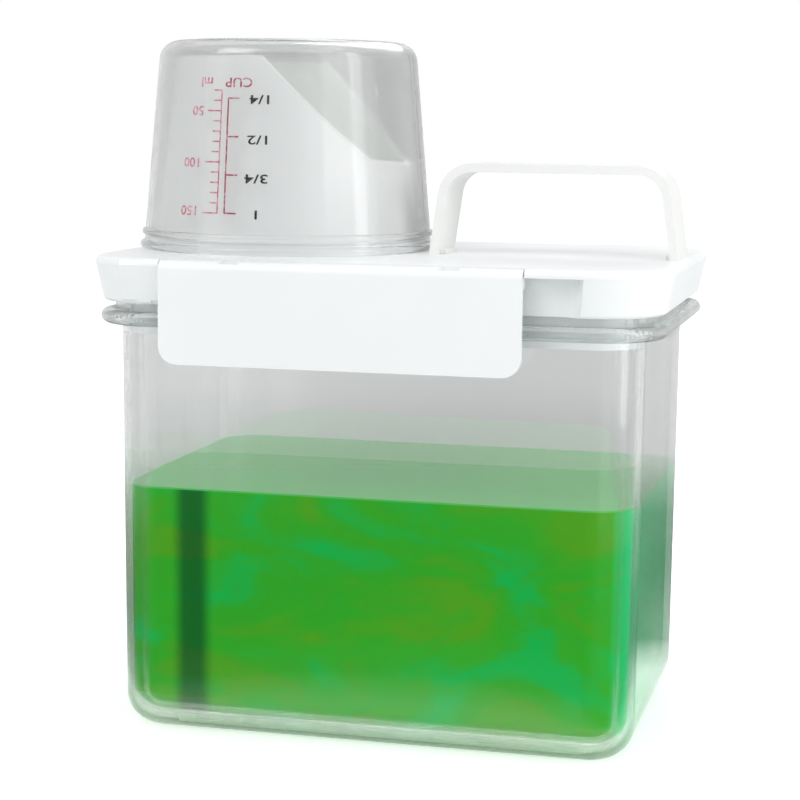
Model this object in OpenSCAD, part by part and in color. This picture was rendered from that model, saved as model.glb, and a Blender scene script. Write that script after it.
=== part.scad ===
// Laundry detergent dispenser: a clear jar with a white lid, a pouring spout
// under an upturned measuring cup, a carrying handle and two side latches.
// The origin is the centre of the jar's underside. X runs along the jar,
// -Y is the front, and Z is up. All sizes are in millimetres.

/* [Jar] */
// Length of the jar at its mouth
jar_l = 146.1; // [120:0.1:180]
// Depth of the jar at its mouth, front to back
jar_w = 101.8; // [88:0.1:130]
// Height of the jar, up to the top of its mouth
jar_h = 120.3; // [90:0.1:180]
// Radius of the jar's upright corners
corner_r = 13.4; // [12:0.1:20]
// Thickness of the jar's walls
jar_wall = 2; // [1.4:0.1:2.6]
// Thickness of the jar's floor
jar_floor = 3.6; // [2.4:0.1:6]
// Radius of the rounded edge round the jar's underside
bottom_r = 9; // [5:0.5:11]
// How much narrower the jar is at its foot, on each side
jar_draft = 0.7; // [0.2:0.1:1]
// Width of the foot that the jar stands on
foot_w = 3; // [2:0.5:8]
// Depth of the hollow inside the foot
foot_hollow = 0.8; // [0.4:0.1:1.2]

/* [Jar flange] */
// How far the flange stands out from the jar's wall
flange_reach = 5.8; // [5:0.1:8]
// Thickness of the flange's web
flange_web = 2.4; // [1.6:0.1:3]
// Thickness of the round bead at the flange's edge
bead_d = 4; // [3.2:0.1:4.4]
// Height of the mouth above the bead
mouth_rise = 2.3; // [1.8:0.1:4]
// How far the mouth's rim stands out from the jar's wall
mouth_reach = 1.8; // [1:0.1:2.2]

/* [Detergent] */
// Height of the liquid's surface
fill_level = 69.3; // [30:0.1:100]
// Gap between the liquid and the jar
fill_gap = 0.1; // [0.05:0.05:0.2]

/* [Lid] */
// Height of the lid from its lower edge to its top
lid_h = 12.4; // [11:0.1:18]
// How far the lid's top edge stands out from the jar's wall
lid_reach = 7.2; // [6.4:0.1:8]
// How much further in the lid's lower edge lies
lid_taper = 2; // [0.8:0.1:2.4]
// Rounding of the lid's top edge
lid_edge_r = 1.8; // [0.8:0.1:2.4]
// Rounding of the lid's lower edge
lid_foot_r = 1.2; // [0.4:0.1:1.6]
// Thickness of the lid's top
lid_top = 2.2; // [1.8:0.1:3]
// Thickness of the lid's walls
lid_wall = 2; // [1.4:0.1:2.4]
// Depth that the lid's plug reaches into the jar
plug_depth = 8.8; // [8:0.1:14]
// Gap between the plug and the jar's wall
plug_gap = 0.7; // [0.5:0.05:1]
// Thickness of the ribs between the plug and the lid's walls
rib_t = 1.2; // [0.8:0.1:2]
// Spacing of the ribs
rib_pitch = 24; // [16:1:30]

/* [Lid seal] */
// Height of the sealing ring
seal_h = 3.2; // [2.4:0.1:4]
// Depth of the groove that holds the sealing ring
seal_groove = 1; // [0.6:0.1:1.2]
// Height of the sealing ring above the plug's lower edge
seal_rise = 2.6; // [2:0.1:4]

/* [Latches] */
// Width of each latch
latch_l = 98.8; // [70:0.1:104]
// Sideways place of both latches from the jar's middle
latch_x = -5.9; // [-8:0.1:8]
// Depth that a latch hangs below its hinge
latch_drop = 25.3; // [23:0.1:32]
// Thickness of a latch's plate
latch_t = 2; // [1.6:0.1:2.6]
// Radius of a latch's lower corners
latch_corner_r = 5; // [2:0.5:8]
// Radius of a latch's hinge barrel
barrel_r = 2.6; // [2.5:0.05:2.7]
// How far a latch opens, in degrees
latch_travel = 100; // [80:1:105]
// Radius of the hinge pin
pin_r = 0.75; // [0.6:0.05:0.85]
// Running clearance of the hinge pin
pin_gap = 0.07; // [0.05:0.01:0.1]
// Radius of each hinge lug on the lid
lug_r = 1.55; // [1.4:0.05:1.6]
// Width of each hinge lug
lug_w = 5; // [3:0.5:8]
// Distance between the two hinge lugs
lug_span = 60; // [40:1:70]
// Gap between a latch and the lid or the jar's bead
latch_gap = 0.4; // [0.3:0.05:0.6]
// Height of a latch's locking rib
hook_h = 3.3; // [2.5:0.1:4.5]
// Length of a latch's locking rib
hook_l = 76; // [50:1:86]
// Thickness of the gussets under the locking rib
gusset_t = 1.4; // [1:0.1:2]

/* [Latch recess] */
// Length of the recess in the lid's wall behind a latch
recess_l = 119; // [112:0.5:122]
// How far the wall in the recess stands out from the jar's wall
recess_reach = 1.2; // [1:0.1:1.6]
// Radius of the recess's curved ends
recess_r = 8; // [5:0.5:9]

/* [Pouring spout] */
// Sideways place of the spout and the cup from the jar's middle
pour_x = -37.3; // [-38:0.1:-37]
// Outer radius of the spout at the lid
spout_r = 38.5; // [36:0.1:38.6]
// Height of the spout's tip above the lid
spout_h = 54.6; // [40:0.1:57]
// Inward lean of the spout's wall, in degrees
spout_lean = 6.9; // [4:0.1:9]
// Thickness of the spout's wall
spout_wall = 1.6; // [1.2:0.1:2]
// Height of the spout's low lip above the lid
lip_h = 26.3; // [20:0.1:32]
// Radius of the low lip's rounded edge
lip_r = 11; // [8:0.5:12]
// Slope of the cut between the tip and the lip, in degrees
cut_slope = 46; // [40:1:55]
// Radius of the neck that drops through the lid
neck_r = 28.2; // [20:0.1:28.4]
// Gap between the neck and its hole in the lid
neck_gap = 0.3; // [0.2:0.05:0.5]
// Depth of the neck below the lid's top
neck_depth = 6.6; // [5:0.1:8]

/* [Measuring cup] */
// Outer radius of the cup's wall at its rim
cup_r = 41.8; // [41.4:0.1:42.2]
// Height of the upturned cup
cup_h = 59.1; // [59:0.1:70]
// Inward lean of the cup's wall, in degrees
cup_lean = 5; // [3:0.1:5.5]
// Thickness of the cup's wall
cup_wall = 1.6; // [1.2:0.1:2]
// Radius of the cup's rounded base edge
cup_edge_r = 5.5; // [3:0.5:7]
// How far the beads round the rim stand out
cup_bead = 1; // [0.5:0.1:1.3]
// Radius of the hollow in the cup's base
cup_hollow_r = 29; // [20:0.5:31]
// Gap between the cup's rim and the lid
cup_gap = 0.2; // [0.1:0.05:0.3]
// Height of the lid's collar that centres the cup
collar_h = 3; // [2:0.1:5]
// Gap between the collar and the inside of the cup's rim
collar_gap = 0.3; // [0.2:0.05:0.4]
// Radius of the two small nubs inside the cup's rim
nub_r = 1.5; // [1:0.1:1.8]

/* [Handle] */
// Length of the handle at its feet
handle_l = 70.3; // [60:0.1:71]
// Height of the handle above the lid
handle_h = 25.6; // [20:0.1:40]
// Width of the handle's strap, front to back
strap_w = 22; // [14:0.5:30]
// Thickness of the handle's strap
strap_t = 2.4; // [1.8:0.1:3.2]
// Radius of the handle's upper corners
handle_r = 9.5; // [6:0.5:12]
// Outward lean of the handle's legs, in degrees
handle_lean = 8; // [2:0.5:9]
// Distance from the handle's right foot to the lid's end
handle_inset = 2.5; // [2.4:0.05:4]
// Depth of the tongues under the handle's feet
tongue_d = 6; // [4:0.1:7]
// Thickness of the tongues
tongue_t = 1.8; // [1.2:0.1:2]
// Width of the tongues, front to back
tongue_w = 14; // [8:0.5:18]
// Gap between a tongue and its socket
tongue_gap = 0.15; // [0.1:0.05:0.25]

/* [Hidden] */
$fn = 96;
over = 1; // how far a cutting shape runs past what it cuts

// Centres of the jar's corner curves. The jar, flange, lid, plug and seal
// are all measured outwards from the loop through these four points.
centre_x = jar_l / 2 - corner_r;
centre_y = jar_w / 2 - corner_r;

// Reach of the jar's outer wall from its corner centres, at a height
function wall_reach(z) =
    corner_r - jar_draft * (jar_h - max(z, bottom_r)) / (jar_h - bottom_r);

// Heights and reaches of the jar's mouth
bead_z = jar_h - mouth_rise - bead_d / 2;
bead_reach = corner_r + flange_reach - bead_d / 2;
mouth_in = corner_r - jar_wall;

// Heights and reaches of the lid
lid_z = jar_h;
lid_top_z = lid_z + lid_h;
lid_under_z = lid_top_z - lid_top;
lid_out = corner_r + lid_reach;
lid_low = lid_out - lid_taper;
plug_out = mouth_in - plug_gap;
plug_in = plug_out - lid_wall;
plug_z = jar_h - plug_depth;
seal_z = plug_z + seal_rise;
seal_play = 0.05; // keeps the sealing ring free of the jar's wall

// The latches hang in front of the bead, and their barrels lie in a step
// that is cut into the lid's top edge.
recess_y = centre_y + corner_r + recess_reach;
latch_in_y = centre_y + corner_r + flange_reach + latch_gap;
play = 0.3; // between a latch's round parts and what they turn in
hinge_y = latch_in_y + latch_t - barrel_r;
hinge_z = lid_top_z - barrel_r - 0.2;
step_y = hinge_y - barrel_r - play;
lug_arm = 1.1; // half the thickness of a lug's arm
hook_z = bead_z - bead_d / 2 - play;
hook_y = centre_y + bead_reach - 0.2;
latch_low_z = hinge_z - latch_drop;
notch_w = lug_w + 2 * play;

// The spout, the collar and the cup are centred on one upright line.
cup_z = lid_top_z + cup_gap;
cup_in_r = cup_r - cup_wall;
collar_out = cup_in_r - collar_gap;
collar_in = spout_r + neck_gap;
hole_r = neck_r + neck_gap;
neck_wall = spout_wall;
funnel_h = 1.4; // fall of the spout's floor towards its neck

// The handle stands over the lid's right half.
handle_x = centre_x + lid_out - handle_inset - handle_l / 2;
tongue_x = handle_l / 2 - strap_t - tongue_t / 2 + 0.2;
socket_wall = 1.2;

// Puts one section round the jar: a quarter turn at each corner and a
// straight run along each side. The section's x is its reach outwards
// from the corner centres and its y is its height.
module around_jar() {
    corners = [[1, 1, 0], [-1, 1, 90], [-1, -1, 180], [1, -1, 270]];
    for (c = corners)
        translate([c[0] * centre_x, c[1] * centre_y, 0])
            rotate([0, 0, c[2]]) rotate_extrude(angle = 90) children();
    for (turn = [0, 180]) {
        rotate([0, 0, turn]) translate([centre_x, centre_y, 0])
            rotate([90, 0, 0]) linear_extrude(2 * centre_y) children();
        rotate([0, 0, turn + 90]) translate([centre_y, centre_x, 0])
            rotate([90, 0, 0]) linear_extrude(2 * centre_x) children();
    }
}

// Fills the space between the corner centres, from one height to another
module core(low, high) {
    translate([-centre_x, -centre_y, low])
        cube([2 * centre_x, 2 * centre_y, high - low]);
}

// Half section of the jar's body or of its inside: a drafted wall above a
// rounded lower edge
module body_section(inset, low, edge_r, high) {
    foot = wall_reach(0) - inset;
    difference() {
        polygon([[0, low], [foot, low], [foot, low + edge_r],
                 [wall_reach(high) - inset, high], [0, high]]);
        translate([foot - edge_r, low]) difference() {
            square([edge_r, edge_r]);
            translate([0, edge_r]) circle(edge_r);
        }
    }
}

// Half outline of a straight-sided shape with a rounded shoulder, which
// leans inwards as it rises from the origin
module shoulder(base, rise, r, lean) {
    centre = base - (rise - r) * tan(lean) - r / cos(lean);
    polygon([[0, 0], [base, 0],
             [centre + r * cos(lean), rise - r + r * sin(lean)],
             [centre, rise - r], [centre, rise], [0, rise]]);
    translate([centre, rise - r]) circle(r);
}

module rounded_plate(l, w, r) {
    square([l - 2 * r, w], center = true);
    square([l, w - 2 * r], center = true);
    for (x = [-1, 1], y = [-1, 1])
        translate([x * (l / 2 - r), y * (w / 2 - r)]) circle(r);
}

// Repeats a front piece at the back, as its mirror image
module front_and_rear() {
    children();
    mirror([0, 1, 0]) children();
}

module container() {
    color([0.86, 0.88, 0.88, 0.45]) difference() {
        union() {
            around_jar() {
                union() {
                    body_section(0, 0, bottom_r, jar_h);
                    translate([corner_r - over, bead_z - flange_web / 2])
                        square([bead_reach - corner_r + over, flange_web]);
                    translate([bead_reach, bead_z]) circle(bead_d / 2);
                    translate([mouth_in, bead_z])
                        square([jar_wall + mouth_reach, jar_h - bead_z]);
                }
            }
            core(0, jar_h);
        }
        around_jar() body_section(jar_wall, jar_floor, bottom_r - jar_wall, jar_h + over);
        core(jar_floor, jar_h + over);
        translate([0, 0, -over]) linear_extrude(over + foot_hollow)
            rounded_plate(2 * (centre_x + wall_reach(0) - bottom_r - foot_w),
                          2 * (centre_y + wall_reach(0) - bottom_r - foot_w), 4);
    }
}

module detergent() {
    inset = jar_wall + fill_gap;
    color([0.12, 0.62, 0.25, 0.85]) {
        around_jar() body_section(inset, jar_floor + fill_gap, bottom_r - inset, fill_level);
        core(jar_floor + fill_gap, fill_level);
    }
}

// The recess behind a latch, grown by the thickness of the wall round it
module recess(grow) {
    depth = 40;
    translate([0, -(recess_y - grow) - depth / 2, lid_z - over])
        linear_extrude(lid_under_z - lid_z + over)
            rounded_plate(recess_l + 2 * grow, depth, recess_r + grow);
}

// Half section of the lid's outside: a wall that leans inwards as it goes
// down, between a rounded top edge and a rounded lower edge
module lid_outline() {
    polygon([[0, lid_z], [lid_low - lid_foot_r, lid_z], [lid_low - lid_foot_r, lid_z + lid_foot_r],
             [lid_low, lid_z + lid_foot_r], [lid_out, lid_top_z - lid_edge_r],
             [lid_out - lid_edge_r, lid_top_z - lid_edge_r],
             [lid_out - lid_edge_r, lid_top_z], [0, lid_top_z]]);
    translate([lid_low - lid_foot_r, lid_z + lid_foot_r]) circle(lid_foot_r);
    translate([lid_out - lid_edge_r, lid_top_z - lid_edge_r]) circle(lid_edge_r);
}

// The lid's top and side wall, with the open channel that the jar's mouth
// faces and the plug inside it
module lid_shell() {
    difference() {
        union() {
            around_jar() lid_outline();
            core(lid_under_z, lid_top_z);
        }
        difference() {
            around_jar() polygon([[0, lid_z - over], [lid_low - lid_wall, lid_z - over],
                                  [lid_low - lid_wall, lid_z],
                                  [lid_out - lid_wall, lid_under_z], [0, lid_under_z]]);
            front_and_rear() recess(lid_wall);
        }
    }
    around_jar() difference() {
        translate([plug_in, plug_z]) square([lid_wall, lid_under_z - plug_z + over]);
        translate([plug_out - seal_groove, seal_z]) square([seal_groove + over, seal_h]);
    }
}

// Ribs between the plug and the walls round it, which rest on the jar's mouth
module lid_ribs() {
    reach = lid_low - lid_wall / 2;
    height = lid_under_z - lid_z + over / 2;
    count_x = floor(centre_x / rib_pitch);
    count_y = floor(centre_y / rib_pitch);
    for (i = [-count_x : count_x])
        translate([i * rib_pitch - rib_t / 2, -centre_y - recess_reach - corner_r + over / 2, lid_z])
            cube([rib_t, recess_reach + corner_r - plug_out, height]);
    for (i = [-count_x : count_x])
        translate([i * rib_pitch - rib_t / 2, centre_y + plug_out - over / 2, lid_z])
            cube([rib_t, recess_reach + corner_r - plug_out, height]);
    for (i = [-count_y : count_y], side = [0, 180])
        rotate([0, 0, side]) translate([centre_x + plug_out - over / 2, i * rib_pitch - rib_t / 2, lid_z])
            cube([reach - plug_out + over / 2, rib_t, height]);
}

// A lug on the lid's front edge: a round eye on an arm that reaches back
// under the lid's top
module hinge_lug() {
    rotate([0, 90, 0]) cylinder(r = lug_r, h = lug_w, center = true);
    translate([-lug_w / 2, 0, -lug_arm])
        cube([lug_w, hinge_y - recess_y + lid_wall / 2, 2 * lug_arm]);
}

module lid() {
    color([0.95, 0.96, 0.97]) difference() {
        union() {
            difference() {
                lid_shell();
                front_and_rear() recess(0);
                front_and_rear() translate([latch_x - latch_l / 2 - latch_gap,
                                            -step_y - 4 * barrel_r, lid_under_z - over])
                    cube([latch_l + 2 * latch_gap, 4 * barrel_r, lid_top + 2 * over]);
            }
            lid_ribs();
            front_and_rear() for (side = [-1, 1])
                translate([latch_x + side * lug_span / 2, -hinge_y, hinge_z]) hinge_lug();
            translate([pour_x, 0, lid_top_z]) rotate_extrude()
                translate([collar_in, -lid_top / 2]) square([collar_out - collar_in, collar_h + lid_top / 2]);
            for (side = [-1, 1]) translate([handle_x + side * tongue_x, 0, 0]) socket(socket_wall);
        }
        translate([pour_x, 0, lid_under_z - over]) cylinder(r = hole_r, h = lid_top + 2 * over);
        for (side = [-1, 1]) translate([handle_x + side * tongue_x, 0, 0]) socket(0);
        front_and_rear() for (side = [-1, 1])
            translate([latch_x + side * lug_span / 2, -hinge_y, hinge_z])
                rotate([0, 90, 0]) cylinder(r = pin_r + pin_gap, h = lug_w + 2 * over, center = true);
    }
}

// The blind socket for a handle's tongue, or the block around it
module socket(grow) {
    low = lid_top_z - tongue_d - 2 * tongue_gap - grow;
    high = grow > 0 ? lid_top_z - over / 2 : lid_top_z + over;
    half_t = tongue_t / 2 + tongue_gap + grow;
    half_w = tongue_w / 2 + tongue_gap + grow;
    translate([-half_t, -half_w, low]) cube([2 * half_t, 2 * half_w, high - low]);
}

module lid_seal() {
    lip = mouth_in - seal_play;
    inner = plug_out - seal_groove;
    color([0.88, 0.9, 0.9]) around_jar() {
        difference() {
            translate([inner, seal_z]) square([lip - inner, seal_h]);
            translate([lip, seal_z + seal_h / 2])
                polygon([[-plug_gap, 0], [0, seal_h / 6], [over, seal_h / 6],
                         [over, -seal_h / 6], [0, -seal_h / 6]]);
        }
    }
}

module pouring_spout() {
    top_r = spout_r - spout_h * tan(spout_lean);
    floor_z = spout_wall + funnel_h;
    floor_r = spout_r - floor_z * tan(spout_lean) - spout_wall;
    barb = 0.7;
    clip_z = -lid_top - neck_gap;
    color([0.96, 0.96, 0.95]) translate([pour_x, 0, lid_top_z]) difference() {
        rotate_extrude() polygon([
            [spout_r, 0], [top_r, spout_h], [top_r - spout_wall, spout_h],
            [floor_r, floor_z], [neck_r - neck_wall, spout_wall],
            [neck_r - neck_wall, -neck_depth], [neck_r, -neck_depth],
            [neck_r + barb, clip_z - 2 * barb], [neck_r + barb, clip_z], [neck_r, clip_z],
            [neck_r, 0]]);
        rotate([90, 0, 0]) translate([0, 0, -spout_r - over])
            linear_extrude(2 * (spout_r + over)) spout_cut();
    }
}

// What is cut away above the spout's slanted edge and its rounded lip, seen
// from the front
module spout_cut() {
    far = spout_r + over;
    lip_x = (spout_h - lip_h) / tan(cut_slope) + 2;
    difference() {
        polygon([[2, spout_h + over], [2, spout_h], [lip_x, lip_h],
                 [far, lip_h - lip_r], [far, spout_h + over]]);
        translate([lip_x, lip_h - lip_r]) circle(lip_r);
        polygon([[lip_x - 2 * lip_r, lip_h - lip_r], [lip_x - 2 * lip_r, 0], [far, 0],
                 [far, lip_h - lip_r]]);
    }
}

module measuring_cup() {
    nub_z = 8;
    nub_reach = 1.1;
    color([0.85, 0.86, 0.86, 0.5]) translate([pour_x, 0, cup_z]) {
        rotate_extrude() difference() {
            union() {
                shoulder(cup_r, cup_h, cup_edge_r, cup_lean);
                translate([cup_r - 0.2, cup_bead + 0.2]) circle(cup_bead + 0.2);
                translate([cup_r - 0.5, 4 * cup_bead + 0.8]) circle(cup_bead);
            }
            translate([0, -over]) square([cup_r - cup_wall, over]);
            shoulder(cup_in_r, cup_h - cup_wall, cup_edge_r - cup_wall, cup_lean);
            translate([0, cup_h - 0.5]) square([cup_hollow_r, over]);
        }
        for (side = [0, 180]) rotate([0, 0, side])
            translate([cup_in_r - nub_z * tan(cup_lean) - nub_reach, 0, nub_z])
                rotate([0, 90, 0]) cylinder(r = nub_r, h = nub_reach + cup_wall / 2);
    }
}

module handle_outline(inset) {
    for (side = [0, 1]) mirror([side, 0])
        shoulder(handle_l / 2 - inset / cos(handle_lean), handle_h - inset,
                 handle_r - inset, handle_lean);
}

module handle() {
    color([0.93, 0.93, 0.92]) translate([handle_x, 0, lid_top_z]) {
        rotate([90, 0, 0]) linear_extrude(strap_w, center = true) difference() {
            handle_outline(0);
            handle_outline(strap_t);
        }
        for (side = [-1, 1])
            translate([side * tongue_x - tongue_t / 2, -tongue_w / 2, -tongue_d])
                cube([tongue_t, tongue_w, tongue_d + strap_t / 2]);
    }
}

// What a latch's barrel leaves free round a lug: the lug's eye, and the
// sector that its arm sweeps as the latch opens
module lug_notch() {
    far = 2 * barrel_r;
    rotate([0, 90, 0]) cylinder(r = lug_r + play, h = notch_w, center = true);
    for (turn = [0, latch_travel / 2, latch_travel])
        rotate([turn, 0, 0]) translate([-notch_w / 2, 0, -lug_arm - play])
            cube([notch_w, far, 2 * (lug_arm + play)]);
    translate([-notch_w / 2, 0, 0]) cube([notch_w, far, far]);
}

// The locking rib that hooks under the jar's bead, with a lead-in below
module hook_outline() {
    depth = latch_in_y - hook_y;
    polygon([[-latch_t / 2, 0], [depth, 0], [depth, -hook_h / 4],
             [depth / 2, -hook_h], [-latch_t / 2, -hook_h]]);
}

// One latch, drawn at the front: a plate with a barrel at its top edge, the
// pin that shows in the barrel's two notches, and the locking rib
module latch() {
    gussets = [-0.4, 0, 0.4] * hook_l;
    difference() {
        union() {
            translate([latch_x, -latch_in_y, latch_low_z + latch_drop]) rotate([90, 0, 0])
                linear_extrude(latch_t) difference() {
                    rounded_plate(latch_l, 2 * latch_drop, latch_corner_r);
                    translate([-latch_l, 0]) square([2 * latch_l, 2 * latch_drop]);
                }
            translate([latch_x, -hinge_y, hinge_z]) rotate([0, 90, 0])
                cylinder(r = barrel_r, h = latch_l, center = true);
        }
        for (side = [-1, 1])
            translate([latch_x + side * lug_span / 2, -hinge_y, hinge_z]) lug_notch();
    }
    for (side = [-1, 1])
        translate([latch_x + side * lug_span / 2, -hinge_y, hinge_z]) rotate([0, 90, 0])
            cylinder(r = pin_r, h = notch_w + 2 * over, center = true);
    translate([latch_x - hook_l / 2, -latch_in_y, hook_z]) rotate([90, 0, 90])
        linear_extrude(hook_l) hook_outline();
    for (x = gussets)
        translate([latch_x + x - gusset_t / 2, -latch_in_y, hook_z - hook_h / 4]) rotate([90, 0, 90])
            linear_extrude(gusset_t)
                polygon([[-latch_t / 2, 0], [latch_in_y - hook_y, 0], [0, -2 * hook_h], [-latch_t / 2, -2 * hook_h]]);
}

module front_latch() {
    color([0.94, 0.95, 0.96]) latch();
}

module rear_latch() {
    color([0.94, 0.95, 0.96]) mirror([0, 1, 0]) latch();
}

container();
detergent();
lid();
lid_seal();
pouring_spout();
measuring_cup();
handle();
front_latch();
rear_latch();
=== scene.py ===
# %% [markdown]
# A laundry detergent dispenser: a clear jar of green liquid under a white
# latched lid, with a pouring spout, an upturned measuring cup and a strap
# handle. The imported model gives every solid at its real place. This lesson
# adds the camera, the studio, the finishes and the ink on the cup.

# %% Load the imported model
import math

import bmesh
import bpy
from mathutils import Matrix, Vector
from mathutils.bvhtree import BVHTree


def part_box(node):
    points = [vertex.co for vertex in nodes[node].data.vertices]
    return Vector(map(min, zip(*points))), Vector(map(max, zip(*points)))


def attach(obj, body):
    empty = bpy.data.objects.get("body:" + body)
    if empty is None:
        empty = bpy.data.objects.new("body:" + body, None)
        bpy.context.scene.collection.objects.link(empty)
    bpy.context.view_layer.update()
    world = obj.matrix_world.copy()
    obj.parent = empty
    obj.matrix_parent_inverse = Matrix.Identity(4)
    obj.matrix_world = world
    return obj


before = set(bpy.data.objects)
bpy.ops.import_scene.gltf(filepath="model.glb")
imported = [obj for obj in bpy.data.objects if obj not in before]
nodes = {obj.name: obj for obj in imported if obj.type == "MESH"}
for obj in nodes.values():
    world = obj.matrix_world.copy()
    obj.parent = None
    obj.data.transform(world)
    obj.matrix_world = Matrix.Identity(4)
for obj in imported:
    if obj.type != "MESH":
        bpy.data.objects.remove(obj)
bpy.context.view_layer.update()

MM = 0.001


def placed(name, data):
    """A new object of the scene."""
    thing = bpy.data.objects.new(name, data)
    bpy.context.scene.collection.objects.link(thing)
    return thing


# %% [markdown]
# The camera comes first, because every later choice is judged through it. It
# was found by matching straight edges of the jar and the round cup rim with
# the photograph: a long lens, a little above the lid and a little to the
# right, with a slight turn about its own axis. The shift moves the frame and
# leaves the perspective alone.

# %% Place the camera
CAMERA_AZIMUTH = math.radians(13.945)
CAMERA_ELEVATION = math.radians(7.302)
CAMERA_ROLL = math.radians(0.627)
CAMERA_DISTANCE = 597.3 * MM
AIM_POINT = Vector((0, 0, 95 * MM))
LENS_MM, SENSOR_MM = 92.7, 36
LENS_SHIFT = (-0.01377, -0.02321)


def camera_axes(azimuth, elevation, roll):
    """The camera's right, up and back directions."""
    back = Vector((math.sin(azimuth) * math.cos(elevation),
                   -math.cos(azimuth) * math.cos(elevation), math.sin(elevation)))
    level = Vector((math.cos(azimuth), math.sin(azimuth), 0))
    upright = back.cross(level)
    right = math.cos(roll) * level + math.sin(roll) * upright
    return right, back.cross(right), back


def place_camera():
    """The photograph's camera, as the scene's own."""
    right, up, back = camera_axes(CAMERA_AZIMUTH, CAMERA_ELEVATION, CAMERA_ROLL)
    data = bpy.data.cameras.new("studio_camera")
    data.lens, data.sensor_width = LENS_MM, SENSOR_MM
    data.shift_x, data.shift_y = LENS_SHIFT
    camera = placed("studio_camera", data)
    turn = Matrix((right, up, back)).transposed().to_4x4()
    camera.matrix_world = Matrix.Translation(AIM_POINT + back * CAMERA_DISTANCE) @ turn
    bpy.context.scene.camera = camera
    return camera


camera = place_camera()
print("camera at", [round(x, 4) for x in camera.matrix_world.translation])

# %% [markdown]
# Every material is a tree of nodes. This small helper class keeps the trees
# short to write: it adds a node with its settings, and joins sockets. A
# plain number or colour goes straight onto the socket that it belongs to.


# %% A helper for node trees
class Tree:
    """Adds nodes to a node tree and joins them."""

    def __init__(self, node_tree):
        self.tree = node_tree

    def add(self, kind, settings=None, **inputs):
        """Adds one node. Inputs are named as on the node, with _ for a space."""
        node = self.tree.nodes.new(kind)
        for name, value in (settings or {}).items():
            setattr(node, name, value)
        for name, value in inputs.items():
            self.feed(node.inputs[name.replace("_", " ")], value)
        return node

    def feed(self, socket, value):
        """Sets a socket to a value, or links another socket to it."""
        if isinstance(value, bpy.types.NodeSocket):
            self.tree.links.new(value, socket)
        else:
            socket.default_value = value

    def math(self, operation, a, b=0.0):
        """A Math node on two values or sockets."""
        node = self.add("ShaderNodeMath", {"operation": operation})
        self.feed(node.inputs[0], a)
        self.feed(node.inputs[1], b)
        return node.outputs[0]

    def vector(self, x, y, z):
        """A vector of three values or sockets."""
        return self.add("ShaderNodeCombineXYZ", X=x, Y=y, Z=z).outputs[0]

    def mix(self, factor, a, b):
        """Mixes two colours."""
        node = self.add("ShaderNodeMix", {"data_type": "RGBA"})
        self.feed(node.inputs[0], factor)
        self.feed(node.inputs[6], a)
        self.feed(node.inputs[7], b)
        return node.outputs[2]

    def mix_shaders(self, factor, a, b):
        """Mixes the first outputs of two shader nodes."""
        node = self.add("ShaderNodeMixShader", Fac=factor)
        self.feed(node.inputs[1], a.outputs[0])
        self.feed(node.inputs[2], b.outputs[0])
        return node

    def spread(self, value, low, high, to_low=0.0, to_high=1.0):
        """Maps the range from low to high onto another range."""
        node = self.add("ShaderNodeMapRange", Value=value, From_Min=low, From_Max=high,
                        To_Min=to_low, To_Max=to_high)
        return node.outputs["Result"]

    def ramp(self, factor, stops):
        """A soft colour ramp with (place, grey or colour) stops."""
        node = self.add("ShaderNodeValToRGB", Fac=factor)
        points = node.color_ramp.elements
        node.color_ramp.interpolation = "EASE"
        while len(points) < len(stops):
            points.new(1)
        for point, (place, colour) in zip(points, stops):
            point.position = place
            point.color = (*colour, 1) if isinstance(colour, tuple) else (colour,) * 3 + (1,)
        return node.outputs["Color"]

    def bent_rays(self, path):
        """One for the rays that a clear or a glossy face has turned, else zero."""
        return self.math("MAXIMUM", path.outputs["Is Glossy Ray"], path.outputs["Is Transmission Ray"])


def new_material(name):
    """An empty material with its output node: (material, tree, output)."""
    material = bpy.data.materials.new(name)
    material.use_nodes = True
    material.node_tree.nodes.clear()
    tree = Tree(material.node_tree)
    return material, tree, tree.add("ShaderNodeOutputMaterial")


# %% [markdown]
# A clear object has no look of its own: it shows the room, bent. So the room
# is designed with care. Straight behind the jar it is a soft grey, which
# gives the clear wall its tone, and it has white cards beside that field and
# darker zones at the sides, which draw the bands along the corners and the
# cup's rim. The camera's own side is dark, so that the flat front reflects
# little and the green stays deep. The far floor shows the same bands, so one
# group makes both. Each stop is a share of the full turn and a grey.

# %% The walls of the room
WALL_BANDS = [
    (0.00, 0.12), (0.08, 0.15), (0.13, 0.80), (0.19, 0.62), (0.26, 0.66), (0.32, 0.95), (0.405, 1.0),
    (0.425, 0.78), (0.46, 0.70), (0.505, 0.74), (0.525, 0.62), (0.56, 0.62), (0.60, 1.0), (0.68, 0.85),
    (0.74, 0.62), (0.83, 0.66), (0.90, 0.80), (0.94, 0.15), (1.00, 0.12)]


def room_walls_group():
    """The grey that a level look into one direction meets."""
    group = bpy.data.node_groups.new("room_walls", "ShaderNodeTree")
    group.interface.new_socket("Direction", in_out="INPUT", socket_type="NodeSocketVector")
    group.interface.new_socket("Seen", in_out="OUTPUT", socket_type="NodeSocketColor")
    tree = Tree(group)
    given = tree.add("NodeGroupInput")
    parts = tree.add("ShaderNodeSeparateXYZ", Vector=given.outputs["Direction"]).outputs
    turn = tree.math("ARCTAN2", parts["X"], parts["Y"])
    around = tree.math("ADD", tree.math("DIVIDE", turn, 2 * math.pi), 0.5)
    tree.add("NodeGroupOutput", Seen=tree.ramp(around, WALL_BANDS))
    return group


room_walls = room_walls_group()
print("the room's walls have", len(WALL_BANDS), "stops")

# %% [markdown]
# Diffuse light comes from a plain even dome, so that a colour renders about
# as it is written. The camera itself sees plain white. Only bent rays see the
# walls, which fade into a white ceiling above the horizon.

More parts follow.
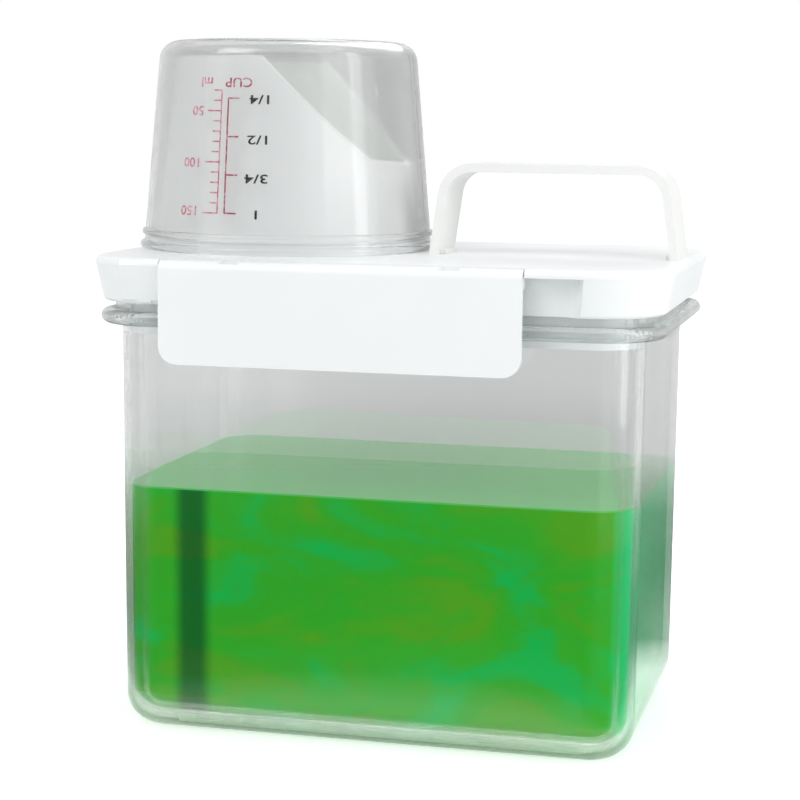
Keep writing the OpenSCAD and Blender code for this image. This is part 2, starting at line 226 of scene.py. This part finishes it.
# %% The room
WHITE = (1, 1, 1, 1)
DOME_LIGHT, DOME_TINT = 0.74, (0.97, 0.985, 1, 1)
CEILING = (0.98, 0.98, 0.98, 1)
CEILING_FADE = [(0.25, 0.0), (0.75, 1.0)]


def make_room():
    """The world: one look for bent rays, one for diffuse light, one for the camera."""
    world = bpy.data.worlds.new("room")
    bpy.context.scene.world = world
    world.use_nodes = True
    world.node_tree.nodes.clear()
    tree = Tree(world.node_tree)
    where = tree.add("ShaderNodeTexCoord").outputs["Generated"]
    walls = tree.add("ShaderNodeGroup", {"node_tree": room_walls}, Direction=where)
    parts = tree.add("ShaderNodeSeparateXYZ", Vector=where)
    height = tree.ramp(parts.outputs["Z"], CEILING_FADE)
    seen = tree.mix(height, walls.outputs["Seen"], CEILING)
    path = tree.add("ShaderNodeLightPath")
    dome = tree.add("ShaderNodeBackground", Color=DOME_TINT, Strength=DOME_LIGHT)
    shown = tree.add("ShaderNodeBackground", Color=seen, Strength=1)
    white = tree.add("ShaderNodeBackground", Color=WHITE, Strength=1)
    lit = tree.mix_shaders(tree.bent_rays(path), dome, shown)
    both = tree.mix_shaders(path.outputs["Is Camera Ray"], lit, white)
    tree.add("ShaderNodeOutputWorld", Surface=both.outputs[0])
    return world


print("world:", make_room().name, "with a dome of", DOME_LIGHT)

# %% [markdown]
# Three soft lamps shape the white parts: a broad one high at the left, a
# fill at the right and a long one behind, which lights the lid's top. They
# are large, so that their shadows fade within a few centimetres. A narrow
# strip stands at the right, just clear of the floor, and its reflection draws
# the bright line down the jar's near corner.

# %% The lamps
LAMP_AIM = Vector((0, 0, 0.1))


def soft_lamp(name, place, size, power, tall=None):
    """A square or tall lamp that faces the middle of the jar."""
    data = bpy.data.lights.new(name, "AREA")
    data.shape = "RECTANGLE"
    data.size = size
    data.size_y = tall or size
    data.energy = power
    lamp = placed(name, data)
    lamp.location = place
    lamp.rotation_euler = (LAMP_AIM - Vector(place)).to_track_quat("-Z", "Y").to_euler()
    print(name, "at", place, "with", power, "W")


soft_lamp("key_lamp", (-0.9, -1.1, 1.3), 0.9, 9)
soft_lamp("fill_lamp", (1.2, -0.7, 0.7), 0.8, 3.5)
soft_lamp("rear_lamp", (0.2, 1.2, 1.2), 0.9, 5)
soft_lamp("strip_lamp", (0.40, -0.11, 0.24), 0.09, 0.4, 0.45)

# %% [markdown]
# The floor is a plain pale sheet. What the camera sees of it is lifted to
# white, and a share of real diffuse light stays in it, so that the jar keeps
# a soft shadow where it stands. Away from the jar, the clear parts see the
# room's bands in it instead of the lift, and what they mirror of it within
# half a metre is dark, so that the liquid's colour isn't veiled.

# %% The floor
FLOOR_HALF, FLOOR_DROP = 6.0, 0.05 * MM
FLOOR_TONE, FLOOR_LIFT = (0.86, 0.87, 0.87, 1), 0.4
NEAR_FLOOR, FAR_FLOOR = 95 * MM, 125 * MM
MAT_EDGE, MAT_END, MAT_TONE = 330 * MM, 480 * MM, 0.2


def floor_material():
    """Pale and lifted to white near the jar, and the room's bands further out."""
    material, tree, output = new_material("pale_floor")
    matt = tree.add("ShaderNodeBsdfDiffuse", Color=FLOOR_TONE)
    path = tree.add("ShaderNodeLightPath")
    bent = tree.bent_rays(path)
    seen = tree.math("MAXIMUM", path.outputs["Is Camera Ray"], bent)
    lift = tree.add("ShaderNodeEmission", Color=WHITE, Strength=tree.math("MULTIPLY", seen, FLOOR_LIFT))
    lifted = tree.add("ShaderNodeAddShader")
    tree.feed(lifted.inputs[0], matt.outputs[0])
    tree.feed(lifted.inputs[1], lift.outputs[0])
    where = tree.add("ShaderNodeTexCoord").outputs["Object"]
    walls = tree.add("ShaderNodeGroup", {"node_tree": room_walls}, Direction=where)
    away = tree.add("ShaderNodeVectorMath", {"operation": "LENGTH"}, Vector=where).outputs["Value"]
    far = tree.spread(away, NEAR_FLOOR, FAR_FLOOR)
    mat = tree.spread(away, MAT_EDGE, MAT_END, 1 - MAT_TONE, 0.0)
    dimmed = tree.math("MULTIPLY", path.outputs["Is Glossy Ray"], mat)
    bands = tree.add("ShaderNodeEmission", Color=walls.outputs["Seen"],
                     Strength=tree.math("SUBTRACT", 1.0, dimmed))
    both = tree.mix_shaders(tree.math("MULTIPLY", bent, far), lifted, bands)
    tree.feed(output.inputs["Surface"], both.outputs[0])
    return material


def make_floor():
    """One square face just under the jar's foot."""
    mesh = bpy.data.meshes.new("floor")
    mesh.from_pydata([(x * FLOOR_HALF, y * FLOOR_HALF, 0) for x, y in ((-1, -1), (1, -1), (1, 1), (-1, 1))],
                     [], [(0, 1, 2, 3)])
    mesh.materials.append(floor_material())
    floor = placed("floor", mesh)
    floor.location.z = -FLOOR_DROP
    print("floor", 2 * FLOOR_HALF, "m wide")


make_floor()

# %% [markdown]
# The white parts are injection moulded. Close up, such a skin is not quite
# smooth: the steel mould leaves a very fine grain, and the gloss drifts a
# little over a hand's width as the plastic shrinks. One node group makes both
# for all the white parts, and each part gives its own range of gloss.

# %% The moulded skin group
GRAIN_SCALE, DRIFT_SCALE = 900.0, 26.0
DRIFT_LOW, DRIFT_HIGH = 0.3, 0.7


def moulded_skin_group():
    """Gives the skin's roughness, its relief and how its tint drifts."""
    group = bpy.data.node_groups.new("moulded_skin", "ShaderNodeTree")
    for name in ("Roughness Low", "Roughness High"):
        group.interface.new_socket(name, in_out="INPUT", socket_type="NodeSocketFloat")
    for name in ("Roughness", "Height", "Tint"):
        group.interface.new_socket(name, in_out="OUTPUT", socket_type="NodeSocketFloat")
    tree = Tree(group)
    given = tree.add("NodeGroupInput").outputs
    where = tree.add("ShaderNodeTexCoord").outputs["Object"]
    grain = tree.add("ShaderNodeTexNoise", Vector=where, Scale=GRAIN_SCALE, Detail=3.0, Roughness=0.55)
    drift = tree.add("ShaderNodeTexNoise", Vector=where, Scale=DRIFT_SCALE, Detail=2.0, Roughness=0.5)
    gloss = tree.spread(drift.outputs["Fac"], DRIFT_LOW, DRIFT_HIGH, given["Roughness Low"],
                        given["Roughness High"])
    tree.add("NodeGroupOutput", Roughness=gloss, Height=grain.outputs["Fac"], Tint=drift.outputs["Fac"])
    return group


moulded_skin = moulded_skin_group()
print("grain of", round(1 / GRAIN_SCALE / MM, 2), "mm, drift of", round(1 / DRIFT_SCALE / MM), "mm")

# %% [markdown]
# The white plastics differ in tint and gloss: the lid and the latches are a
# cool clean white, the handle is a little warmer, and the spout and the seal
# are milky, so light travels some way inside them.

# %% White plastics
PLASTIC_INDEX = 1.49
GRAIN_BUMP, GRAIN_DEPTH = 0.03, 0.05 * MM
MILK_RADIUS, MILK_DEPTH = (1.0, 0.95, 0.9), 2.0 * MM


def white_plastic(name, light, dark, low, high, milk=0.0):
    """A moulded opaque plastic whose colour drifts between two close tints."""
    material, tree, output = new_material(name)
    skin = tree.add("ShaderNodeGroup", {"node_tree": moulded_skin}, Roughness_Low=low, Roughness_High=high)
    colour = tree.ramp(skin.outputs["Tint"], [(DRIFT_LOW, dark), (DRIFT_HIGH, light)])
    relief = tree.add("ShaderNodeBump", Strength=GRAIN_BUMP, Distance=GRAIN_DEPTH,
                      Height=skin.outputs["Height"])
    shader = tree.add("ShaderNodeBsdfPrincipled", Base_Color=colour, Roughness=skin.outputs["Roughness"],
                      Normal=relief.outputs["Normal"], IOR=PLASTIC_INDEX)
    if milk:
        tree.feed(shader.inputs["Subsurface Weight"], milk)
        tree.feed(shader.inputs["Subsurface Radius"], MILK_RADIUS)
        tree.feed(shader.inputs["Subsurface Scale"], MILK_DEPTH)
    tree.feed(output.inputs["Surface"], shader.outputs[0])
    print(name, "roughness", low, "to", high)
    return material


lid_white = white_plastic("lid_white_plastic", (0.895, 0.905, 0.91), (0.875, 0.885, 0.89), 0.32, 0.42)
handle_white = white_plastic("handle_white_plastic", (0.86, 0.86, 0.84), (0.84, 0.84, 0.82), 0.36, 0.48)
spout_white = white_plastic("spout_white_plastic", (0.88, 0.88, 0.87), (0.86, 0.86, 0.85), 0.4, 0.5, 0.25)
seal_white = white_plastic("seal_silicone_milk", (0.78, 0.80, 0.80), (0.72, 0.74, 0.74), 0.3, 0.4, 0.4)

# %% [markdown]
# The jar and the cup are clear moulded plastic. Such walls are never quite
# flat: the plastic flowed in from one point, and left long shallow waves. A
# group gives both parts those waves as a height, and a faint haze.

# %% The clear wall group
WAVE_SCALE, SPECK_SCALE = 22.0, 60.0
FLOW_STRETCH = (1.0, 1.0, 0.35)


def clear_flow_group():
    """Gives a clear wall's waves and its haze."""
    group = bpy.data.node_groups.new("clear_flow", "ShaderNodeTree")
    group.interface.new_socket("Haze", in_out="INPUT", socket_type="NodeSocketFloat")
    for name in ("Height", "Roughness"):
        group.interface.new_socket(name, in_out="OUTPUT", socket_type="NodeSocketFloat")
    tree = Tree(group)
    given = tree.add("NodeGroupInput").outputs
    where = tree.add("ShaderNodeTexCoord").outputs["Object"]
    flow = tree.add("ShaderNodeMapping", Vector=where, Scale=FLOW_STRETCH)
    waves = tree.add("ShaderNodeTexNoise", Vector=flow.outputs[0], Scale=WAVE_SCALE, Detail=1.0)
    specks = tree.add("ShaderNodeTexNoise", Vector=where, Scale=SPECK_SCALE, Detail=2.0)
    haze = tree.math("MULTIPLY", specks.outputs["Fac"], given["Haze"])
    tree.add("NodeGroupOutput", Height=waves.outputs["Fac"], Roughness=haze)
    return group


clear_flow = clear_flow_group()
print("waves of", round(1 / WAVE_SCALE / MM), "mm")

# %% [markdown]
# A glass shader with the plastic's own index bends and mirrors the room. Two
# walls and a liquid behind each other bend the light too often to be read, so
# a share of it goes straight on through each wall. The jar is almost clear,
# and the cup is a milky grey with a stronger mirror.

# %% Clear plastics
WAVE_BUMP, WAVE_DEPTH = 0.25, 0.2 * MM
STRAIGHT_TINT = (0.97, 0.975, 0.975, 1)


def clear_plastic(name, tint, haze, mirror, straight_share):
    """A see-through moulded plastic. Part of the light goes straight through."""
    material, tree, output = new_material(name)
    flow = tree.add("ShaderNodeGroup", {"node_tree": clear_flow}, Haze=haze)
    relief = tree.add("ShaderNodeBump", Strength=WAVE_BUMP, Distance=WAVE_DEPTH,
                      Height=flow.outputs["Height"])
    shader = tree.add("ShaderNodeBsdfPrincipled", Base_Color=(*tint, 1), Transmission_Weight=1.0,
                      IOR=PLASTIC_INDEX, Roughness=flow.outputs["Roughness"],
                      Normal=relief.outputs["Normal"], Specular_IOR_Level=mirror)
    path = tree.add("ShaderNodeLightPath")
    lit = tree.math("MAXIMUM", path.outputs["Is Shadow Ray"], path.outputs["Is Diffuse Ray"])
    straight = tree.math("MAXIMUM", lit, straight_share)
    open_way = tree.add("ShaderNodeBsdfTransparent", Color=STRAIGHT_TINT)
    both = tree.mix_shaders(straight, shader, open_way)
    tree.feed(output.inputs["Surface"], both.outputs[0])
    print(name, "lets", straight_share, "straight through")
    return material


jar_clear = clear_plastic("jar_clear_plastic", (0.94, 0.95, 0.95), 0.02, 0.2, 0.32)
cup_clear = clear_plastic("cup_clear_plastic", (0.80, 0.805, 0.805), 0.25, 0.5, 0.12)

# %% [markdown]
# The detergent is a green liquid, clear enough to show its far edge and
# cloudy enough to glow. So a share of the light passes, and the liquid's
# depth takes most of its red and blue, and the rest scatters back as a soft
# green. The photograph also shows soft patches from yellow green to emerald,
# where the liquid is not evenly mixed. A darker stripe beside the left
# corner is painted shade, and a brighter glow at the right side, where the
# light comes in, is painted light.

# %% The detergent's colours, painted shade and painted light
LIQUID_INDEX = 1.36
ABSORBED, ABSORPTION = (0.30, 0.80, 0.25, 1), 30.0
CLEAR_SHARE = 0.35
SHADOW_TINT = (0.6, 0.9, 0.6, 1)
PATCH_SCALE, PATCH_LEAN, PATCH_STRETCH = 24.0, math.radians(28), (1.0, 0.6, 1.9)
PATCH_GREENS = [(0.36, (0.13, 0.53, 0.025)), (0.50, (0.055, 0.57, 0.035)), (0.66, (0.015, 0.66, 0.12))]
# Painted shade: a darker stripe down the liquid's front beside the left corner.
PAINTED_SHADE_LEFT, PAINTED_SHADE_RIGHT, PAINTED_SHADE_DEPTH = -56 * MM, -43 * MM, -46 * MM
PAINTED_SHADE_PROFILE = [(0.0, 0.0), (0.35, 1.0), (0.65, 1.0), (1.0, 0.0)]
PAINTED_SHADE_SHARE, PAINTED_SHADE_TONE = 0.8, (0.004, 0.10, 0.03, 1)
# Painted light: a brighter glow at the right side, where the light comes in.
PAINTED_GLOW_START, PAINTED_GLOW_END, PAINTED_GLOW_TONE = 66 * MM, 70 * MM, (0.02, 1.0, 0.32, 1)
# Painted light: the liquid's top is a lighter green.
SURFACE_SKIN, PAINTED_TOP_LIGHT_TONE = 0.5 * MM, (0.16, 0.74, 0.18, 1)
detergent_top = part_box("detergent")[1].z
print("the liquid stands", round(detergent_top / MM, 1), "mm high")

# %% [markdown]
# The patches, the stripe of painted shade and the glow of painted light go
# into the base colour, and so does the lighter green of the surface, which
# is painted light too. Their zones are cut by the place in the jar: the
# stripe keeps to the front wall, and stripe and glow stay under the
# surface. About a third of the liquid's light passes and the rest scatters.


# %% The detergent
def liquid_colour(tree):
    """The patches, then the stripe of painted shade, the glow and the lighter surface of painted light over
    them.
    """
    where = tree.add("ShaderNodeTexCoord").outputs["Object"]
    lean = tree.add("ShaderNodeMapping", Vector=where, Rotation=(0, PATCH_LEAN, 0), Scale=PATCH_STRETCH)
    patches = tree.add("ShaderNodeTexNoise", Vector=lean.outputs[0], Scale=PATCH_SCALE, Detail=5.0,
                       Roughness=0.55, Distortion=0.8)
    greens = tree.ramp(patches.outputs["Fac"], PATCH_GREENS)
    parts = tree.add("ShaderNodeSeparateXYZ", Vector=where).outputs
    # The stripe is painted shade, kept to the front wall and under the surface.
    stripe = tree.ramp(tree.spread(parts["X"], PAINTED_SHADE_LEFT, PAINTED_SHADE_RIGHT), PAINTED_SHADE_PROFILE)
    in_front = tree.math("LESS_THAN", parts["Y"], PAINTED_SHADE_DEPTH)
    under = tree.math("LESS_THAN", parts["Z"], detergent_top - SURFACE_SKIN)
    dark = tree.math("MULTIPLY", tree.math("MULTIPLY", stripe, PAINTED_SHADE_SHARE),
                     tree.math("MULTIPLY", in_front, under))
    with_painted_shade = tree.mix(dark, greens, PAINTED_SHADE_TONE)
    # The brighter glow at the right side is painted light.
    with_painted_glow = tree.mix(tree.spread(parts["X"], PAINTED_GLOW_START, PAINTED_GLOW_END), with_painted_shade, PAINTED_GLOW_TONE)
    # The lighter green of the surface is painted light.
    return tree.mix(under, PAINTED_TOP_LIGHT_TONE, with_painted_glow)


def detergent_liquid():
    """A partly clear, partly cloudy liquid with its depth's own green."""
    material, tree, output = new_material("detergent_green_liquid")
    shader = tree.add("ShaderNodeBsdfPrincipled", Base_Color=liquid_colour(tree), IOR=LIQUID_INDEX,
                      Transmission_Weight=CLEAR_SHARE, Roughness=0.0, Specular_IOR_Level=0.25)
    path = tree.add("ShaderNodeLightPath")
    open_way = tree.add("ShaderNodeBsdfTransparent", Color=SHADOW_TINT)
    both = tree.mix_shaders(path.outputs["Is Shadow Ray"], shader, open_way)
    inside = tree.add("ShaderNodeVolumeAbsorption", Color=ABSORBED, Density=ABSORPTION)
    tree.feed(output.inputs["Surface"], both.outputs[0])
    tree.feed(output.inputs["Volume"], inside.outputs[0])
    return material


detergent_green = detergent_liquid()

# %% [markdown]
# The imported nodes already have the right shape, so they stay as they are and
# only change their material.

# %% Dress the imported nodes
FINISHES = {
    "container": (jar_clear, "jar_clear"), "measuring_cup": (cup_clear, "cup_clear"),
    "detergent": (detergent_green, "detergent_green"), "lid": (lid_white, "lid_white"),
    "front_latch": (lid_white, "lid_white"), "rear_latch": (lid_white, "lid_white"),
    "handle": (handle_white, "handle_white"), "pouring_spout": (spout_white, "spout_white"),
    "lid_seal": (seal_white, "seal_silicone")}
for name, (material, slot) in FINISHES.items():
    nodes[name].data.materials.clear()
    nodes[name].data.materials.append(material)
print("dressed", len(FINISHES), "nodes")

# %% [markdown]
# On the real lid the recess behind each latch starts right at the latch's
# left edge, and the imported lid's recess runs on past it. A short length of
# side wall, with the lid's own lean and its rounded upper edge, closes that
# end at the front and at the back.

# %% Close the left ends of the recesses
lid_low, lid_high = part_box("lid")
latch_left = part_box("front_latch")[0].x
RECESS_DEPTH, RECESS_RUN, WALL_LEAN, WALL_EDGE = 6.2 * MM, 11 * MM, 2 * MM, 1.2 * MM
WALL_HEIGHT, LATCH_CLEAR, COLLAR_HEIGHT = 12.4 * MM, 0.45 * MM, 3 * MM
WALL_INSET, CROWN_SIZE, CROWN_MIDDLE = 0.02 * MM, 1.8 * MM, 0.55 * MM


def wall_section():
    """The side wall's outline as (reach, height) corners."""
    top = lid_high.z - COLLAR_HEIGHT - WALL_INSET
    low = top - WALL_HEIGHT
    reach = max(abs(lid_low.y), abs(lid_high.y)) - WALL_INSET
    return [(reach - RECESS_DEPTH, low), (reach - WALL_LEAN - WALL_EDGE, low),
            (reach - WALL_LEAN, low + WALL_EDGE), (reach, top - CROWN_SIZE),
            (reach - CROWN_MIDDLE, top - CROWN_MIDDLE), (reach - CROWN_SIZE, top),
            (reach - RECESS_DEPTH, top)]


def recess_end(name, side):
    """A prism between the recess's end and the latch, on one side of the lid."""
    section = wall_section()
    right = latch_left - LATCH_CLEAR
    count = len(section)
    corners = [(x, side * y, z) for x in (right - RECESS_RUN, right) for y, z in section]
    faces = [(i, (i + 1) % count, count + (i + 1) % count, count + i) for i in range(count)]
    faces += [tuple(reversed(range(count))), tuple(range(count, 2 * count))]
    mesh = bpy.data.meshes.new(name)
    mesh.from_pydata(corners, [], faces)
    solid = bmesh.new()
    solid.from_mesh(mesh)
    bmesh.ops.recalc_face_normals(solid, faces=solid.faces)
    solid.to_mesh(mesh)
    solid.free()
    mesh.materials.append(lid_white)
    piece = placed(name, mesh)
    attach(piece, "jar")
    print(name, "ends at x =", round(right / MM, 1), "mm")


recess_end("front_recess_end", -1)
recess_end("rear_recess_end", 1)

# %% [markdown]
# The cup carries a printed scale. The cup stands upside down here, so its
# figures stand on their heads. Ink on a cone is bent: a flat drawing, with u
# along the wall and v up it, is rolled round the cup's axis. Two rays against
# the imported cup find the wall's radius and its lean.

# %% Find the cup's wall
PROBE_INSET = 12 * MM
cup_low, cup_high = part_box("measuring_cup")
cup_axis_x = (cup_low.x + cup_high.x) / 2
cup_tree = BVHTree.FromObject(nodes["measuring_cup"], bpy.context.evaluated_depsgraph_get())


def wall_radius(z):
    """Outer radius of the cup at a height, measured at its front."""
    hit = cup_tree.ray_cast(Vector((cup_axis_x, -1, z)), Vector((0, 1, 0)))[0]
    return abs(hit.y)


probe_low, probe_high = cup_low.z + PROBE_INSET, cup_high.z - PROBE_INSET
radius_low = wall_radius(probe_low)
wall_slope = (wall_radius(probe_high) - radius_low) / (probe_high - probe_low)
print("cup wall radius", round(radius_low / MM, 2), "slope", round(wall_slope, 4))

# %% [markdown]
# The tick marks repeat, so Geometry Nodes make them. The flat drawing comes
# first: a line of points carries one short bar each, every so often a longer
# one, and a spine joins them.

# %% Draw the flat tick scale
INK_DEPTH, INK_LIFT = 0.06 * MM, 0.02 * MM


def flat_scale(tree, given):
    """The bars and the spine, with the ink's depth along Y."""
    points = tree.add("GeometryNodeMeshLine", {"mode": "OFFSET"}, Count=given["Count"],
                      Start_Location=tree.vector(0.0, 0.0, given["Start Height"]),
                      Offset=tree.vector(0.0, 0.0, given["Pitch"]))
    bar = tree.add("GeometryNodeMeshCube", Size=tree.vector(1.0, given["Ink Depth"], given["Line Width"]),
                   Vertices_X=4, Vertices_Y=2, Vertices_Z=2)
    bar_moved = tree.add("GeometryNodeTransform", Geometry=bar.outputs[0], Translation=(0.5, 0, 0))
    index = tree.add("GeometryNodeInputIndex").outputs[0]
    is_long = tree.math("LESS_THAN", tree.math("MODULO", index, given["Long Every"]), 0.5)
    extra = tree.math("MULTIPLY", is_long, tree.math("SUBTRACT", given["Long Tick"], given["Short Tick"]))
    length = tree.math("ADD", given["Short Tick"], extra)
    bars = tree.add("GeometryNodeInstanceOnPoints", Points=points.outputs[0], Instance=bar_moved.outputs[0],
                    Scale=tree.vector(length, 1.0, 1.0))
    run = tree.math("MULTIPLY", given["Pitch"], tree.math("SUBTRACT", given["Count"], 1.0))
    spine = tree.add("GeometryNodeMeshCube", Size=tree.vector(given["Line Width"], given["Ink Depth"], run),
                     Vertices_X=2, Vertices_Y=2, Vertices_Z=12)
    middle = tree.math("ADD", given["Start Height"], tree.math("MULTIPLY", run, 0.5))
    spine_moved = tree.add("GeometryNodeTransform", Geometry=spine.outputs[0],
                           Translation=tree.vector(0.0, 0.0, middle))
    drawing = tree.add("GeometryNodeJoinGeometry")
    tree.feed(drawing.inputs[0], bars.outputs[0])
    tree.feed(drawing.inputs[0], spine_moved.outputs[0])
    return tree.add("GeometryNodeRealizeInstances", Geometry=drawing.outputs[0]).outputs[0]


# %% [markdown]
# The last nodes roll the flat drawing onto the cone. The distance along the
# wall becomes an angle, and the wall's radius grows or shrinks with the
# height. The drawing then lies a hair proud of the plastic.


# %% Roll the scale onto the cone
def rolled_scale(tree, given, flat):
    """The flat drawing bent round the cup's axis."""
    place = tree.add("ShaderNodeSeparateXYZ", Vector=tree.add("GeometryNodeInputPosition").outputs[0]).outputs
    rise = tree.math("SUBTRACT", place["Z"], given["Radius Height"])
    wall = tree.math("ADD", given["Radius"], tree.math("MULTIPLY", rise, given["Wall Slope"]))
    proud = tree.math("ADD", given["Ink Lift"], tree.math("MULTIPLY", given["Ink Depth"], 0.5))
    radius = tree.math("ADD", wall, tree.math("SUBTRACT", proud, place["Y"]))
    along = tree.math("ADD", place["X"], given["Spine Place"])
    angle = tree.math("DIVIDE", along, given["Radius"])
    x = tree.math("ADD", given["Axis X"], tree.math("MULTIPLY", radius, tree.math("SINE", angle)))
    y = tree.math("MULTIPLY", tree.math("MULTIPLY", radius, tree.math("COSINE", angle)), -1.0)
    bent = tree.add("GeometryNodeSetPosition", Geometry=flat, Position=tree.vector(x, y, place["Z"]))
    return bent.outputs[0]


# %% [markdown]
# The two steps go into one node group, with an input for each size. The same
# group then prints the fine scale and the coarse one.

# %% The tick scale as a node group
SCALE_INPUTS = {
    "NodeSocketInt": ("Count", "Long Every"),
    "NodeSocketFloat": ("Pitch", "Start Height", "Short Tick", "Long Tick", "Line Width", "Spine Place",
                        "Axis X", "Radius", "Radius Height", "Wall Slope", "Ink Depth", "Ink Lift"),
    "NodeSocketMaterial": ("Ink",)}


def tick_scale_group():
    """A printed scale, rolled onto a cone and inked."""
    group = bpy.data.node_groups.new("tick_scale", "GeometryNodeTree")
    group.interface.new_socket("Geometry", in_out="INPUT", socket_type="NodeSocketGeometry")
    for kind, names in SCALE_INPUTS.items():
        for name in names:
            group.interface.new_socket(name, in_out="INPUT", socket_type=kind)
    group.interface.new_socket("Geometry", in_out="OUTPUT", socket_type="NodeSocketGeometry")
    tree = Tree(group)
    given = tree.add("NodeGroupInput").outputs
    rolled = rolled_scale(tree, given, flat_scale(tree, given))
    inked = tree.add("GeometryNodeSetMaterial", Geometry=rolled, Material=given["Ink"])
    tree.add("NodeGroupOutput", Geometry=inked.outputs[0])
    return group


tick_scale = tick_scale_group()
print("the tick scale has", len(tick_scale.nodes), "nodes")

# %% [markdown]
# The ink is pad printed: a soft pad picks the drawing up and presses it on,
# and where it leaves less ink the plastic shows through. So each ink drifts a
# little towards a pale tone. The fine scale is rose, the coarse one wine red,
# and its figures are black.

# %% Ink
BARE_TONE = 0.8
INK_GRAIN, INK_ROUGHNESS = 700.0, 0.45


def ink(name, colour, patchy):
    """Pad-printed ink, a little uneven where the pad left it thin."""
    material, tree, output = new_material(name)
    where = tree.add("ShaderNodeTexCoord").outputs["Object"]
    thin = tree.add("ShaderNodeTexNoise", Vector=where, Scale=INK_GRAIN, Detail=2.0)
    faded = tuple(c + (BARE_TONE - c) * patchy for c in colour)
    shade = tree.ramp(thin.outputs["Fac"], [(0.42, faded), (0.58, colour)])
    shader = tree.add("ShaderNodeBsdfPrincipled", Base_Color=shade, Roughness=INK_ROUGHNESS)
    tree.feed(output.inputs["Surface"], shader.outputs[0])
    print(name, "fades to", [round(c, 2) for c in faded])
    return material


rose_ink = ink("rose_ink", (0.50, 0.11, 0.17), 0.3)
wine_ink = ink("wine_ink", (0.33, 0.04, 0.08), 0.3)
black_ink = ink("black_ink", (0.015, 0.012, 0.012), 0.05)

# %% [markdown]
# Both scales start at the same height, and they differ in pitch, in the side
# that their ticks point to and in the width of their lines. Each one is made
# by the modifier and then kept as a plain mesh, which rides with the cup.

# %% Print the two scales
SCALE_LOW = 144.4 * MM
ML_PITCH, CUP_PITCH = 2.78 * MM, 10.4 * MM


def printed_scale(name, material, **sizes):
    """One scale as a plain mesh that rides with the cup."""
    start = placed(name + "_start", bpy.data.meshes.new(name + "_start"))
    modifier = start.modifiers.new("scale", "NODES")
    modifier.node_group = tick_scale
    values = {"Axis X": cup_axis_x, "Radius": radius_low, "Radius Height": probe_low,
              "Wall Slope": wall_slope, "Ink Depth": INK_DEPTH, "Ink Lift": INK_LIFT, "Ink": material}
    values.update({key.replace("_", " "): value for key, value in sizes.items()})
    for item in tick_scale.interface.items_tree:
        if item.in_out == "INPUT" and item.name in values:
            modifier[item.identifier] = values[item.name]
    settled = start.evaluated_get(bpy.context.evaluated_depsgraph_get())
    mesh = bpy.data.meshes.new_from_object(settled)
    bpy.data.objects.remove(start)
    piece = placed(name, mesh)
    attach(piece, "cup")
    print(name, len(mesh.polygons), "faces")


printed_scale("cup_scale_ml", rose_ink, Count=13, Long_Every=5, Pitch=ML_PITCH, Start_Height=SCALE_LOW,
              Short_Tick=-2.6 * MM, Long_Tick=-4.6 * MM, Line_Width=0.4 * MM, Spine_Place=-8.0 * MM)
printed_scale("cup_scale_cups", wine_ink, Count=4, Long_Every=1, Pitch=CUP_PITCH, Start_Height=SCALE_LOW,
              Short_Tick=3.5 * MM, Long_Tick=3.5 * MM, Line_Width=0.45 * MM, Spine_Place=-5.8 * MM)

# %% [markdown]
# The figures are text, turned into a mesh and then rolled onto the cone as
# the ticks are. They are plain numbers and units, as on any measuring cup.

# %% Shape and roll the figures
FIGURE_STEPS, FIGURE_WEIGHT = 3, 0.015


def roll_on(u, v, depth):
    """The place on the cup's wall of a point of the flat drawing."""
    radius = radius_low + (v - probe_low) * wall_slope + INK_LIFT + depth
    angle = u / radius_low
    return cup_axis_x + radius * math.sin(angle), -radius * math.cos(angle), v


def text_shape(words, size):
    """Corners and faces of flat text, centred on the origin."""
    curve = bpy.data.curves.new("figure", "FONT")
    curve.body = words
    curve.size = size
    curve.align_x = "CENTER"
    curve.align_y = "CENTER"
    curve.resolution_u = FIGURE_STEPS
    curve.offset = FIGURE_WEIGHT * size
    holder = placed("figure", curve)
    mesh = bpy.data.meshes.new_from_object(holder.evaluated_get(bpy.context.evaluated_depsgraph_get()))
    corners = [tuple(v.co) for v in mesh.vertices]
    faces = [tuple(p.vertices) for p in mesh.polygons]
    bpy.data.objects.remove(holder)
    bpy.data.meshes.remove(mesh)
    return corners, faces


# %% [markdown]
# Each figure has its place beside its tick, as the distance along the wall
# and the height. The letters are wide ones, so the text is stretched along
# the wall. All the figures of one ink are one mesh.

# %% Print the figures
ML_FIGURES = [("50", -16.2 * MM, 172.3 * MM), ("100", -17.4 * MM, 158.2 * MM),
              ("150", -17.5 * MM, 145 * MM), ("ml", -13.4 * MM, 180.1 * MM)]
CUP_FIGURES = [("1", 3.4 * MM, 144.3 * MM), ("3/4", 3.3 * MM, 154 * MM), ("1/2", 3.8 * MM, 164.5 * MM),
               ("1/4", 4.2 * MM, 175.4 * MM)]
CUP_HEADING = [("CUP", -2.6 * MM, 180 * MM)]


def printed_figures(name, material, size, stretch, figures):
    """Text at (u, height) places, upside down like the cup, as one mesh."""
    corners, faces = [], []
    for words, u, v in figures:
        flat, shapes = text_shape(words, size)
        first = len(corners)
        corners += [roll_on(u - x * stretch, v - y, INK_DEPTH) for x, y, _ in flat]
        faces += [tuple(first + i for i in shape) for shape in shapes]
    mesh = bpy.data.meshes.new(name)
    mesh.from_pydata(corners, [], faces)
    mesh.materials.append(material)
    piece = placed(name, mesh)
    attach(piece, "cup")
    print(name, len(faces), "faces")


printed_figures("cup_figures_ml", rose_ink, 3.6 * MM, 1.25, ML_FIGURES)
printed_figures("cup_figures_cups", black_ink, 3.4 * MM, 1.6, CUP_FIGURES)
printed_figures("cup_heading", wine_ink, 3.6 * MM, 1.25, CUP_HEADING)

# %% [markdown]
# Last, the view uses the Standard transform.

# %% Set the view transform
view = bpy.context.scene.view_settings
view.view_transform = "Standard"
